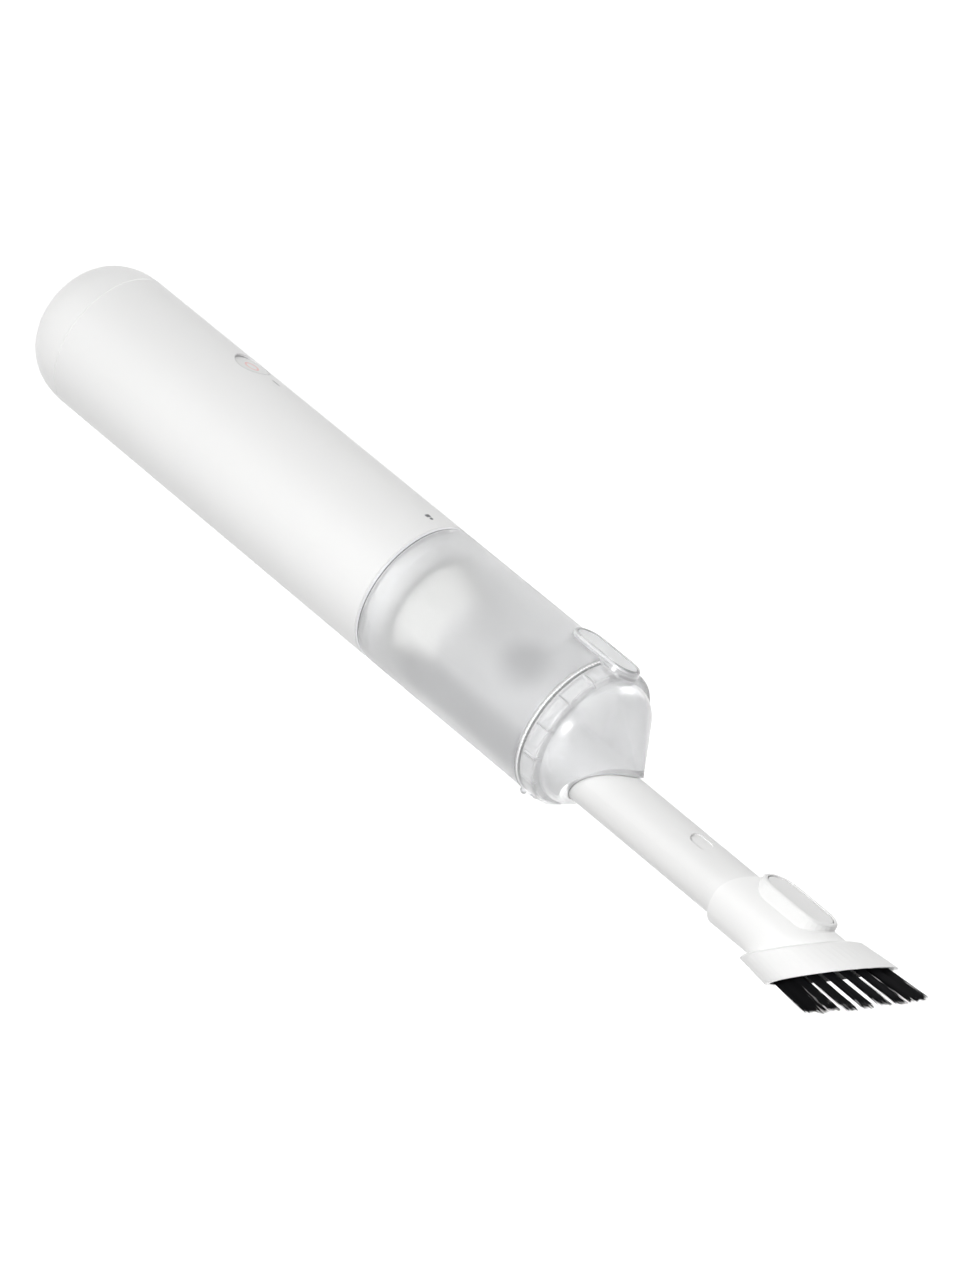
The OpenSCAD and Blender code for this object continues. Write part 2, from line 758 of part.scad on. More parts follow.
// Outline of the nose, set in from its outside by a wall.
function nose_line(inset) = let (
    mid = nose_r - nose_arc,
    ra = nose_arc - inset,
    re = mid + ra * cos(nose_turn),
    ze = face_z + ra * sin(nose_turn))
    concat([for (i = [0:8]) let (a = nose_turn * i / 8) [mid + ra * cos(a), face_z + ra * sin(a)]],
        [[2.5, ze + (re - 2.5) / tan(nose_turn)], [0, ze + (re - 1.6) / tan(nose_turn)]]);

module front_cover() {
    lip = cover_wall - 0.2;
    snout_r = socket_ri + snout_wall;
    scoop_y = nozzle_drop + 17;
    color([0.93, 0.94, 0.95]) difference() {
        union() {
            difference() {
                union() {
                    rotate_extrude() polygon(concat([[0, face_z], [0, ring_z], [body_r - seam, ring_z],
                        [body_r, ring_z + seam], [body_r, ring_z + 1.6], [band_r, ring_z + 1.9]],
                        [for (i = [0:5]) let (a = 90 * i / 5)
                            [band_r - 1.8 + 1.8 * cos(a), face_z - 1.8 + 1.8 * sin(a)]],
                        nose_line(0)));
                    ring(plug_r, plug_ri, ring_z - 3.2, 4);
                    at_nozzle() translate([0, 0, ring_z]) cylinder(r = snout_r, h = 36);
                    translate([-hinge_w, hinge_y - 1.3, hinge_z])
                        cube([2 * hinge_w, 2.8, ring_z + 1.8 - hinge_z]);
                    cross_rod(barrel_r, -hinge_w, hinge_w, hinge_y, hinge_z);
                }
                translate([0, 0, ring_z - 1]) cylinder(r = plug_ri, h = 2.8);
                translate([0, 0, ring_z + 1.8])
                    cylinder(r = band_r - cover_wall + 0.3, h = ring_h - 1.8 - lip);
                rotate_extrude() polygon(concat([[0, ring_z + 1], [nose_r - cover_wall, ring_z + 1]],
                    nose_line(cover_wall)));
            }
            for (i = [0:6], s = [-1, 1]) rotate([0, 0, s * (11 + 25 * i) - 90])
                translate([plug_ri + 0.4, -0.5, ring_z + 1.7])
                    cube([band_r - plug_ri - 1, 1, ring_h - 1.7 - lip + 0.1]);
            intersection() {
                translate([-9.6, -body_r, ring_z]) cube([19.2, body_r - plug_ri + 0.8, ring_h]);
                translate([0, 0, ring_z]) cylinder(r = band_r - 0.5, h = ring_h - 0.5);
            }
            at_nozzle() translate([0, 0, duct_z])
                cylinder(r = socket_r, h = face_z + 6 - duct_z);
            intersection() {
                at_nozzle() translate([0, 0, face_z + 5]) cylinder(r = socket_r, h = 26);
                rotate_extrude() polygon(concat([[0, face_z]], nose_line(0.3)));
            }
            for (x = [-5.1, 3.6]) translate([x, flap_y - 1.4, duct_z - 1.4]) cube([1.5, 3.8, 5]);
        }
        at_nozzle() translate([0, 0, seat_z]) cylinder(r = socket_ri, h = 60);
        at_nozzle() translate([0, 0, duct_z - 1]) cylinder(r = duct_ri, h = 60);
        translate([-50, scoop_y, face_z + 36.3]) rotate([0, 90, 0]) cylinder(r = 30.9, h = 100);
        frame_block(0.4);
        cross_rod(hinge_pin_r + shaft_fit, -hinge_w - 1, hinge_w + 1, hinge_y, hinge_z);
        cross_rod(flap_pin_r, -6, 6, flap_y, flap_z);
        ring(body_r - 0.8, body_r - 1.8, ring_z - 1, 1.8);
    }
}

module cover_gasket() {
    color(rubber_grey) difference() {
        ring(body_r - 0.8, body_r - 1.8, ring_z - 0.2, 1);
        frame_block(0.4);
        translate([-hinge_w, hinge_y - 1.3, hinge_z]) cube([2 * hinge_w, 2.8, 5]);
    }
}

module flap_pin() {
    color(bright_metal) cross_rod(flap_pin_r, -5, 5, flap_y, flap_z);
}

module inlet_flap() {
    color(rubber_grey) difference() {
        union() {
            at_nozzle() translate([0, 0, duct_z - play - flap_h]) cylinder(r = flap_r, h = flap_h);
            translate([-3.2, flap_y, duct_z - play - flap_h]) cube([6.4, 6, flap_h]);
            cross_rod(flap_pin_r + 0.7, -3.2, 3.2, flap_y, flap_z);
        }
        cross_rod(flap_pin_r + shaft_fit, -4, 4, flap_y, flap_z);
    }
}

// Keeps what lies behind the slanted plane that crosses the nozzle axis at z.
module behind_slant(z) {
    intersection() {
        children();
        at_nozzle() translate([0, 0, z]) rotate([-atan(slant), 0, 0])
            translate([-40, -200, -400]) cube([80, 500, 400]);
    }
}

module nozzle_tube() {
    color(shell_white) difference() {
        behind_slant(tip_z) at_nozzle() difference() {
            ring(nozzle_r, nozzle_r - nozzle_wall, tube_z, nozzle_len + 20);
            ring(nozzle_r + 1, nozzle_r - 0.5, tube_z + 3, 1);
        }
        for (z = [leg_z, leg_z - brush_travel], s = [-1, 1])
            at_nozzle() rotate([0, 0, s * detent_turn]) on_top(z)
                translate([0, 0, nozzle_r - detent_depth]) linear_extrude(4) oblong(9.9, 5.4);
    }
}

module nozzle_seal() {
    color(rubber_grey) at_nozzle() ring(nozzle_r + slide_fit / 2, nozzle_r - 0.5, tube_z + 3, 1);
}

// A point of the head's oval outline at an angle from the +X direction.
function oval_point(a, w, h) = [
    w * sign(cos(a)) * pow(abs(cos(a)), 0.9), h * sign(sin(a)) * pow(abs(sin(a)), 0.9)];

// A thin oval plate parallel to the slanted mouth.
module slant_plate(z, w, h) {
    multmatrix([[1, 0, 0, 0], [0, 1, 0, nozzle_drop], [0, -slant, 1, z], [0, 0, 0, 1]])
        linear_extrude(0.01) polygon([for (i = [0:47]) oval_point(i * 7.5, w, h)]);
}

// A flat oblong block on the collar, for the rocker button's housing and pocket.
module rocker_block(l, w, h0, h1) {
    at_nozzle() on_top(rocker_z) translate([0, 0, h0]) linear_extrude(h1 - h0) oblong(l, w);
}

module brush_body() {
    l = rocker_len + 2 * play + 2 * rocker_wall;
    w = rocker_w + 2 * play + 2 * rocker_wall;
    color(shell_white) difference() {
        union() {
            hull() {
                slant_plate(skirt_z, mouth_w - 2.9, mouth_h - 2.7);
                slant_plate(skirt_z + 1.2, mouth_w - 1.6, mouth_h - 1.4);
                slant_plate(mouth_z, mouth_w, mouth_h);
            }
            behind_slant(mouth_z - 6) at_nozzle() translate([0, 0, collar_z])
                difference() {
                    cylinder(r = collar_r, h = brush_len + 14);
                    difference() {
                        translate([-20, -20, -1]) cube([40, 20, 16.1]);
                        translate([-20, 0, 15.1]) rotate([0, 90, 0]) cylinder(r = 15.1, h = 40);
                    }
                }
            at_nozzle() on_top(rocker_z) hull() {
                linear_extrude(housing_top - 1, $fn = 32) oblong(l, w);
                linear_extrude(housing_top - 0.4, $fn = 32) oblong(l - 0.5, w - 0.5);
                linear_extrude(housing_top, $fn = 32) oblong(l - 1.6, w - 1.6);
            }
        }
        hull() {
            slant_plate(bed_z, mouth_w - skirt_wall - 0.8, mouth_h - skirt_wall - 0.8);
            slant_plate(mouth_z + 0.1, mouth_w - skirt_wall, mouth_h - skirt_wall);
        }
        rocker_block(rocker_len + 2 * play, rocker_w + 2 * play, rocker_floor, housing_top + 1);
        at_nozzle() translate([0, 0, collar_z - 1]) cylinder(r = socket_ri, h = brush_len + 40);
        at_nozzle() cross_rod(rocker_pin_r, -rocker_w / 2 - 1.3, rocker_w / 2 + 1.3, -pin_h, rocker_z);
        at_nozzle() for (x = [-7, 2.9]) translate([x, -pin_h - 0.6, leg_z - 3.2]) cube([4.1, 8.6, 6.4]);
    }
}

module rocker_pin() {
    color(bright_metal) at_nozzle()
        cross_rod(rocker_pin_r, -rocker_w / 2 - 1.2, rocker_w / 2 + 1.2, -pin_h, rocker_z);
}

// The rocker tilts on its pin, with its two feet over the nozzle's recesses.
module brush_button() {
    color(shell_white) at_nozzle() difference() {
        union() {
            on_top(rocker_z) hull() {
                translate([0, 0, rocker_top - 1.4]) linear_extrude(1, $fn = 32)
                    oblong(rocker_len, rocker_w);
                translate([0, 0, rocker_top - 0.2]) linear_extrude(0.2, $fn = 32)
                    oblong(rocker_len - 0.6, rocker_w - 0.6);
            }
            cross_rod(rocker_pin_r + 0.5, -rocker_w / 2 + 1.2, rocker_w / 2 - 1.2, -pin_h, rocker_z);
            for (x = [-6.2, 3.4]) translate([x, -rocker_top + 1, leg_z - 1.3])
                cube([2.8, rocker_top - 9, 3.5]);
        }
        cross_rod(rocker_pin_r + shaft_fit, -rocker_w, rocker_w, -pin_h, rocker_z);
        translate([0, 0, leg_z - 10]) cylinder(r = nozzle_r + play, h = 20);
    }
}

// Where tuft i stands on its oval, in degrees from the +X direction.
function tuft_angle(i) = (i + 0.5) * 360 / tufts;

// Even spread of strand k over a disc of radius 1.
function strand_spot(k) = let (r = sqrt((k + 0.5) / strands), a = k * 137.508) [r * cos(a), r * sin(a)];

// One three-sided strand from a foot to a tip.
module strand(foot, tip, turn) {
    ends = [for (p = [foot, tip], i = [0:2]) let (a = turn + i * 120,
        r = p == foot ? strand_r : strand_r * 0.8) p + [r * cos(a), r * sin(a), 0]];
    polyhedron(ends, [[0, 1, 2], [5, 4, 3], [0, 3, 1], [1, 3, 4], [1, 4, 2], [2, 4, 5],
        [2, 5, 0], [0, 5, 3]]);
}

// The folded end of one tuft, held inside the bed by its anchor.
module tuft_fold(x, y) {
    translate([x, y, -y * slant - bed_h / 2]) {
        hull() for (s = [-0.2, 0.2]) translate([s, 0, 0]) cylinder(r = 0.15, h = 0.2, $fn = 6);
        hull() for (s = [-0.2, 0.2]) translate([0, s, 0]) cylinder(r = 0.15, h = 0.2, $fn = 6);
    }
}

// A quarter of the bristle bed with its tufts, from tuft number first on, each strand turned by turn.
module bristle_quarter(first, turn) {
    n = tufts / 4;
    a0 = 360 / tufts * first;
    ring_w = mouth_w - 4.6;
    ring_h0 = mouth_h - 3.8;
    color(bristle_black) translate([0, nozzle_drop, bed_z + bed_h]) {
        multmatrix([[1, 0, 0, 0], [0, 1, 0, 0], [0, -slant, 1, -bed_h], [0, 0, 0, 1]])
            linear_extrude(bed_h) intersection() {
                difference() {
                    polygon([for (i = [0:47]) oval_point(i * 7.5, mouth_w - skirt_wall - 1,
                        mouth_h - skirt_wall - 1)]);
                    circle(r = nozzle_r + 0.5);
                }
                polygon(concat([[0, 0]], [for (i = [0:4]) let (a = a0 + 0.4 + 89.2 * i / 4)
                    [3 * ring_w * cos(a), 3 * ring_h0 * sin(a)]]));
            }
        for (i = [0:n - 1]) let (a = tuft_angle(first + i), x = ring_w * cos(a), y = ring_h0 * sin(a)) {
            tuft_fold(x, y);
            for (k = [0:strands - 1]) let (s = strand_spot(k), dx = cos(a), dy = sin(a),
                foot = [x + 1.15 * s[0], y + 1.15 * s[1], -(y + 1.15 * s[1]) * slant - 0.5],
                end = bristle_len + 1.1 * sin(k * 77 + i * 131 + first * 53) + 0.12 * (y + s[1]),
                out = end * tan(bristle_lean),
                tip = [x + 1.75 * s[0] + out * dx, y + 1.75 * s[1] + out * dy,
                    end - slant * (y + 1.75 * s[1] + out * dy)])
                strand(foot, tip, k * 40 + turn);
        }
    }
}

module bristles_right() { bristle_quarter(0 - tufts / 8, 0); }

module bristles_bottom() { bristle_quarter(tufts / 8, 0); }

module bristles_left() { bristle_quarter(3 * tufts / 8, 11); }

module bristles_top() { bristle_quarter(5 * tufts / 8, 0); }

rear_cap();
exhaust_foam();
charge_port();
charge_board();
body_tube();
battery_holder();
battery_cells();
cell_links();
control_board();
power_switch();
status_light();
motor_sleeve();
motor_mounts();
motor_support();
motor_can();
motor_end();
motor_bearings();
motor_stator();
motor_coils();
diffuser();
fan_shroud();
bulkhead();
bulkhead_screws();
trim_ring();
neck_seal();
filter_seal();
filter_frame();
hepa_filter();
filter_cap();
power_button();
light_ring();
rotor_shaft();
rotor_core();
impeller();
impeller_nut();
dust_cup();
release_frame();
hinge_pin();
release_button();
front_cover();
cover_gasket();
flap_pin();
inlet_flap();
nozzle_tube();
nozzle_seal();
brush_body();
rocker_pin();
bristles_top();
bristles_bottom();
bristles_left();
bristles_right();
brush_button();
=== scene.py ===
import json
import math
import random

import bmesh
import bpy
from mathutils import Matrix, Vector


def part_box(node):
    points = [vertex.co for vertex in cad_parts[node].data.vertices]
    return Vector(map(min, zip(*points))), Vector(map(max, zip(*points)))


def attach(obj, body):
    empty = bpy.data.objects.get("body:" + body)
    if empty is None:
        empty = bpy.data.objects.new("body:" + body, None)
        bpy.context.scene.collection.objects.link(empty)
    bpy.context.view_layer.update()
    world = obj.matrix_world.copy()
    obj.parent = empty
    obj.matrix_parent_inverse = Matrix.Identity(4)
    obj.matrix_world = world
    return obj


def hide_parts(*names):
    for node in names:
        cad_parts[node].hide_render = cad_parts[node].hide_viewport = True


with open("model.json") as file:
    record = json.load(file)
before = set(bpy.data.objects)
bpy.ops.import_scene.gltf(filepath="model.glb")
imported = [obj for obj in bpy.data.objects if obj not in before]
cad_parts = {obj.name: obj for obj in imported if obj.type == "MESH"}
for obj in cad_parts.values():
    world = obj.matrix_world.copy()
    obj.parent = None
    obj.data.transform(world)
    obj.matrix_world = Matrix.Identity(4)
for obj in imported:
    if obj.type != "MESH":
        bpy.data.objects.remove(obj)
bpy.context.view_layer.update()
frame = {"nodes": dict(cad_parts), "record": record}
nodes = frame["nodes"]
scene = bpy.context.scene

# Blender and the materials work in metres; the sizes and places of pieces here are in millimetres
MM = 0.001


# Places read from the frame
def far_corner(node):
    """The corner of a CAD node's box with the highest values, in millimetres."""
    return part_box(node)[1] / MM


def box_middle(node):
    """The middle of a CAD node's box, in millimetres."""
    low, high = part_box(node)
    return (low + high) / (2 * MM)


def box_size(node):
    """The size of a CAD node's box, in millimetres."""
    low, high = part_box(node)
    return (high - low) / MM


BODY_R = far_corner("body_tube").x
BODY_END = far_corner("body_tube").z
TRIM_END = far_corner("trim_ring").z
NECK_END = far_corner("bulkhead").z
CUP_END = far_corner("dust_cup").z
NOZZLE_Y = box_middle("nozzle_tube").y
POWER_Z = box_middle("power_button").z
RELEASE_Z = box_middle("release_button").z
ROCKER_Z = box_middle("brush_button").z

# Camera, fitted to the photograph: the directions of its own axes, and its place in metres
CAMERA_RIGHT = Vector((-0.5856, -0.4683, 0.6616))
CAMERA_UP = Vector((0.0507, -0.8358, -0.5466))
CAMERA_BACK = Vector((0.8089, -0.2865, 0.5132))
CAMERA_PLACE = Vector((1.9647, -0.6981, 1.4850))
SENSOR_WIDTH = 36.0
FOCAL_LENGTH = 182.8
CLIP_START = 0.05
CLIP_END = 40.0


def add_camera():
    data = bpy.data.cameras.new("camera")
    data.sensor_width = SENSOR_WIDTH
    data.lens = FOCAL_LENGTH
    data.clip_start = CLIP_START
    data.clip_end = CLIP_END
    camera = bpy.data.objects.new("camera", data)
    scene.collection.objects.link(camera)
    turn = Matrix((CAMERA_RIGHT, CAMERA_UP, CAMERA_BACK)).transposed().to_4x4()
    turn.translation = CAMERA_PLACE
    camera.matrix_world = turn
    scene.camera = camera


add_camera()

# Node helpers, and the places of the colour sockets on a Mix node
MIX_FACTOR = 0
MIX_FIRST = 6
MIX_SECOND = 7
MIX_RESULT = 2
# The stretch of a noise's values that a gloss follows
NOISE_RANGE = (0.3, 0.7)


def new_material(name):
    """A material with an empty node tree, its tree and its output node."""
    mat = bpy.data.materials.new(name)
    mat.use_nodes = True
    tree = mat.node_tree
    tree.nodes.clear()
    out = tree.nodes.new("ShaderNodeOutputMaterial")
    return mat, tree, out


def feed(tree, socket, value):
    """Links a socket to another one, or sets it to a constant."""
    if isinstance(value, bpy.types.NodeSocket):
        tree.links.new(value, socket)
    else:
        socket.default_value = value


def object_place(tree):
    """The socket that gives a surface point's place on its object, in metres."""
    return tree.nodes.new("ShaderNodeTexCoord").outputs["Object"]


def noise(tree, scale, detail=2.0, rough=0.5):
    node = tree.nodes.new("ShaderNodeTexNoise")
    node.inputs["Scale"].default_value = scale
    node.inputs["Detail"].default_value = detail
    node.inputs["Roughness"].default_value = rough
    tree.links.new(object_place(tree), node.inputs["Vector"])
    return node.outputs["Fac"]


def maths(tree, operation, first, second):
    node = tree.nodes.new("ShaderNodeMath")
    node.operation = operation
    feed(tree, node.inputs[0], first)
    feed(tree, node.inputs[1], second)
    return node.outputs[0]


def map_range(tree, value, start, end, low, high, curve="LINEAR"):
    """The value, moved from the range start to end into the range low to high."""
    node = tree.nodes.new("ShaderNodeMapRange")
    node.interpolation_type = curve
    node.inputs["From Min"].default_value = start
    node.inputs["From Max"].default_value = end
    node.inputs["To Min"].default_value = low
    node.inputs["To Max"].default_value = high
    tree.links.new(value, node.inputs["Value"])
    return node.outputs["Result"]


def mix_colour(tree, factor, first, second, blend="MIX"):
    node = tree.nodes.new("ShaderNodeMix")
    node.data_type = "RGBA"
    node.blend_type = blend
    feed(tree, node.inputs[MIX_FACTOR], factor)
    feed(tree, node.inputs[MIX_FIRST], first)
    feed(tree, node.inputs[MIX_SECOND], second)
    return node.outputs[MIX_RESULT]


def mix_shaders(tree, factor, first, second):
    node = tree.nodes.new("ShaderNodeMixShader")
    tree.links.new(factor, node.inputs[0])
    tree.links.new(first.outputs[0], node.inputs[1])
    tree.links.new(second.outputs[0], node.inputs[2])
    return node


def bump(tree, height, strength, distance):
    node = tree.nodes.new("ShaderNodeBump")
    node.inputs["Strength"].default_value = strength
    node.inputs["Distance"].default_value = distance
    tree.links.new(height, node.inputs["Height"])
    return node.outputs["Normal"]


def principled(tree, **values):
    """A Principled shader with constants on its sockets, where _ stands for a space in a name."""
    node = tree.nodes.new("ShaderNodeBsdfPrincipled")
    for socket, value in values.items():
        node.inputs[socket.replace("_", " ")].default_value = value
    return node


def opaque(colour):
    """The colour with a full alpha value."""
    return (*colour, 1.0)


def shown_rays(tree):
    """1 for rays that show the background: from the camera, off gloss and through clear plastic."""
    path = tree.nodes.new("ShaderNodeLightPath")
    shown = path.outputs["Is Camera Ray"]
    for ray in ("Is Glossy Ray", "Is Transmission Ray"):
        shown = maths(tree, "MAXIMUM", shown, path.outputs[ray])
    return shown


# Kinds of material
def plastic(name, colour, rough, grain_scale=9000.0, grain_depth=0.00003, change=0.015, specular=0.5):
    """Moulded plastic: a fine spark-eroded grain, a slow change of tone and of gloss."""
    slow_scale = 30.0
    gloss_change = 0.03
    grain_strength = 0.35
    mat, tree, out = new_material(name)
    shader = principled(tree, IOR=1.46, Specular_IOR_Level=specular)
    slow = noise(tree, slow_scale)
    fine = noise(tree, grain_scale, rough=0.6)
    darker = tuple(max(0.0, c - change) for c in colour)
    tone = mix_colour(tree, slow, opaque(darker), opaque(colour))
    gloss = map_range(tree, slow, *NOISE_RANGE, rough - gloss_change, rough + gloss_change)
    tree.links.new(tone, shader.inputs["Base Color"])
    tree.links.new(gloss, shader.inputs["Roughness"])
    tree.links.new(bump(tree, fine, grain_strength, grain_depth), shader.inputs["Normal"])
    tree.links.new(shader.outputs[0], out.inputs[0])
    return mat


def clear_plastic(name, colour, rough, through, lamp_share=0.9, coat=0.0, grain_depth=0.0, painted_shade=None):
    """See-through plastic: rough refraction over a share of milky body colour; lamps shine through."""
    slow_scale = 45.0
    change = 0.03
    gloss_change = 0.015
    grain_scale = 5000.0
    grain_strength = 0.4
    mat, tree, out = new_material(name)
    shader = principled(tree, IOR=1.45, Transmission_Weight=through, Coat_Weight=coat, Coat_Roughness=0.25)
    slow = noise(tree, slow_scale, detail=3.0)
    darker = tuple(c - change for c in colour)
    tone = mix_colour(tree, slow, opaque(darker), opaque(colour))
    gloss = map_range(tree, slow, *NOISE_RANGE, rough - gloss_change, rough + gloss_change)
    # Painted shade, where given, darkens the body colour in places to stand in for shade
    tree.links.new(painted_shade(tree, tone) if painted_shade else tone, shader.inputs["Base Color"])
    tree.links.new(gloss, shader.inputs["Roughness"])
    if grain_depth:
        fine = noise(tree, grain_scale, rough=0.6)
        tree.links.new(bump(tree, fine, grain_strength, grain_depth), shader.inputs["Normal"])
    shadow_ray = tree.nodes.new("ShaderNodeLightPath").outputs["Is Shadow Ray"]
    see_through = tree.nodes.new("ShaderNodeBsdfTransparent")
    whole = mix_shaders(tree, maths(tree, "MULTIPLY", shadow_ray, lamp_share), shader, see_through)
    tree.links.new(whole.outputs[0], out.inputs[0])
    return mat


def metal(name, colour, rough):
    """Metal with fine dark specks and a little change of gloss."""
    speck_scale = 1200.0
    speck_tone = 0.9
    smoother = 0.05
    rougher = 0.07
    mat, tree, out = new_material(name)
    shader = principled(tree, Metallic=1.0)
    specks = noise(tree, speck_scale)
    darker = tuple(c * speck_tone for c in colour)
    tone = mix_colour(tree, specks, opaque(darker), opaque(colour))
    gloss = map_range(tree, specks, *NOISE_RANGE, rough - smoother, rough + rougher)
    tree.links.new(tone, shader.inputs["Base Color"])
    tree.links.new(gloss, shader.inputs["Roughness"])
    tree.links.new(shader.outputs[0], out.inputs[0])
    return mat


# Painted shade in the cup's wall, in metres: a dark streak and a soft dark spot that stand in for the shade
# seen through it
PAINTED_SHADE_COLOUR = (0.74, 0.74, 0.745)
SHADE_SPOT_PLACE = (0.0257, -0.0155, 0.2765)
SHADE_SPOT_EDGE = 0.015
SHADE_SPOT_CORE = 0.003
SHADE_SPOT_STRENGTH = 0.85
SHADE_STREAK_SIDE = (0.895, 0.446, 0.0)
SHADE_STREAK_EDGE = 0.0274
SHADE_STREAK_CORE = 0.0298
SHADE_STREAK_START = 0.222
SHADE_STREAK_FULL = 0.236
BODY_AXIS = (0.0, 0.0, 1.0)


def cup_painted_shade(tree, tone):
    """Painted shade: a dark streak along the cup and a soft dark spot ahead of the filter, standing in for
    the shade its wall shows.
    """
    point = object_place(tree)

    def measure(operation, place):
        node = tree.nodes.new("ShaderNodeVectorMath")
        node.operation = operation
        node.inputs[1].default_value = place
        tree.links.new(point, node.inputs[0])
        return node.outputs["Value"]

    def soft(value, none_at, full_at, strength=1.0):
        return map_range(tree, value, none_at, full_at, 0.0, strength, "SMOOTHSTEP")

    spot = soft(measure("DISTANCE", SHADE_SPOT_PLACE), SHADE_SPOT_EDGE, SHADE_SPOT_CORE, SHADE_SPOT_STRENGTH)
    side = soft(measure("DOT_PRODUCT", SHADE_STREAK_SIDE), SHADE_STREAK_EDGE, SHADE_STREAK_CORE)
    ahead = soft(measure("DOT_PRODUCT", BODY_AXIS), SHADE_STREAK_START, SHADE_STREAK_FULL)
    painted_shade = maths(tree, "MAXIMUM", spot, maths(tree, "MULTIPLY", side, ahead))
    return mix_colour(tree, painted_shade, tone, opaque(PAINTED_SHADE_COLOUR), "MULTIPLY")


# The record's material slots
MATERIALS = {
    "white_shell": plastic("white_shell", (0.87, 0.87, 0.865), rough=0.34),
    # The frosted cup's colour carries painted shade: a dark streak and a dark spot
    "frosted_cup": clear_plastic(
        "frosted_cup", (0.72, 0.723, 0.727), rough=0.3, through=0.84, grain_depth=0.00002, painted_shade=cup_painted_shade),
    "clear_cover": clear_plastic(
        "clear_cover", (0.83, 0.833, 0.838), rough=0.25, through=0.72, lamp_share=0.85, coat=0.15),
    "bright_metal": metal("bright_metal", (0.72, 0.72, 0.74), rough=0.3),
    "rubber": plastic("rubber", (0.16, 0.16, 0.17), rough=0.75, grain_scale=6000.0, grain_depth=0.00005),
    "bristle": plastic("bristle", (0.004, 0.004, 0.005), rough=0.65, grain_scale=20000.0,
                       grain_depth=0.00001, change=0.002, specular=0.2),
    "inner_plastic": plastic("inner_plastic", (0.1, 0.1, 0.11), rough=0.55),
    "circuit_board": plastic("circuit_board", (0.05, 0.22, 0.1), rough=0.45),
    "copper": metal("copper", (0.75, 0.42, 0.24), rough=0.35),
    "filter_paper": plastic("filter_paper", (0.74, 0.74, 0.725), rough=0.85, grain_scale=3000.0,
                            grain_depth=0.00008),
    "status_lens": plastic("status_lens", (0.9, 0.55, 0.52), rough=0.3),
    "battery_wrap": plastic("battery_wrap", (0.12, 0.3, 0.55), rough=0.3),
}

# Finishes that differ from the slot's own, among them painted shade: darker copies of the white and dark
# strips that stand in for shade
# Grey for painted shade: strips in the button gaps and the cover's rib lines, standing in for shade
PAINTED_SHADE_GREY = plastic("painted_shade_grey", (0.45, 0.45, 0.46), rough=0.4)
CAP_WHITE = plastic("cap_white", (0.88, 0.88, 0.875), rough=0.3)
KEY_WHITE = plastic("key_white", (0.86, 0.86, 0.855), rough=0.36)
# A darker copy of the white shell: painted shade on the nozzle
SHADED_NOZZLE_WHITE = plastic("shaded_nozzle_white", (0.81, 0.81, 0.805), rough=0.34)
# A darker copy of the white: painted shade on the parts inside the cup
SHADED_INNER_WHITE = plastic("shaded_inner_white", (0.72, 0.72, 0.715), rough=0.5)
# Dark for painted shade: the strips in the cup's seam and round the nozzle
PAINTED_SHADE_DARK = plastic("painted_shade_dark", (0.22, 0.22, 0.225), rough=0.5)
# Dark for the printed lock mark, and for the painted shadow in the release button's gap
PRINT_AND_PAINTED_SHADE = plastic("print_and_painted_shade", (0.16, 0.16, 0.17), rough=0.5)
STATUS_GREY = plastic("status_grey", (0.42, 0.42, 0.43), rough=0.35)
SILICONE = plastic("pale_silicone", (0.82, 0.82, 0.825), rough=0.5)
RELEASE_KEY = clear_plastic("release_key", (0.86, 0.862, 0.866), rough=0.3, through=0.4)
RELEASE_RIM = clear_plastic("release_rim", (0.76, 0.763, 0.768), rough=0.2, through=0.75)

OWN_FINISH = {
    "rear_cap": CAP_WHITE,
    "power_button": KEY_WHITE,
    "status_light": STATUS_GREY,
    "bulkhead": SHADED_INNER_WHITE,
    "filter_frame": SHADED_INNER_WHITE,
    "filter_cap": SHADED_INNER_WHITE,
    "neck_seal": SILICONE,
    "filter_seal": SILICONE,
    "release_button": RELEASE_KEY,
    "release_frame": RELEASE_RIM,
    "cover_gasket": SILICONE,
    "nozzle_tube": SHADED_NOZZLE_WHITE,
    "brush_button": KEY_WHITE,
}

slot_of = {row["node"]: row["material_slot"] for row in frame["record"]["subparts"]}
for name, node in nodes.items():
    node.data.materials.clear()
    node.data.materials.append(OWN_FINISH.get(name, MATERIALS[slot_of[name]]))


# Mesh helpers
def piece(name, bm, body, slot, mat=None, replaced=None, smooth=False):
    """Makes a mesh into a piece that rides on a body and may stand for a CAD node."""
    mesh = bpy.data.meshes.new(name)
    bm.normal_update()
    bm.to_mesh(mesh)
    bm.free()
    obj = bpy.data.objects.new(name, mesh)
    scene.collection.objects.link(obj)
    mesh.materials.append(mat or MATERIALS[slot])
    if smooth:
        for face in mesh.polygons:
            face.use_smooth = True
    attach(obj, body)
    if replaced:
        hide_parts(replaced)
    return obj


def row_of(bm, points):
    """Vertices at points given in millimetres."""
    return [bm.verts.new(Vector(point) * MM) for point in points]


def skin(bm, rows):
    """A closed tube through rows of vertices, each row one loop of it."""
    for one, two in zip(rows, rows[1:]):
        count = len(one)
        for k in range(count):
            after = (k + 1) % count
            bm.faces.new((one[k], one[after], two[after], two[k]))
    bm.faces.new(rows[0][::-1])
    bm.faces.new(rows[-1])


def skin_ring(bm, rows):
    """A ring through rows of vertices, in which the last row meets the first."""
    for i, one in enumerate(rows):
        two = rows[(i + 1) % len(rows)]
        count = len(one)
        for k in range(count):
            after = (k + 1) % count
            bm.faces.new((one[k], two[k], two[after], one[after]))


def polar(radius, angle, z, centre_y=0.0):
    """A point at an angle from +X round the body's axis, or round one that lies at centre_y."""
    return radius * math.cos(angle), centre_y + radius * math.sin(angle), z


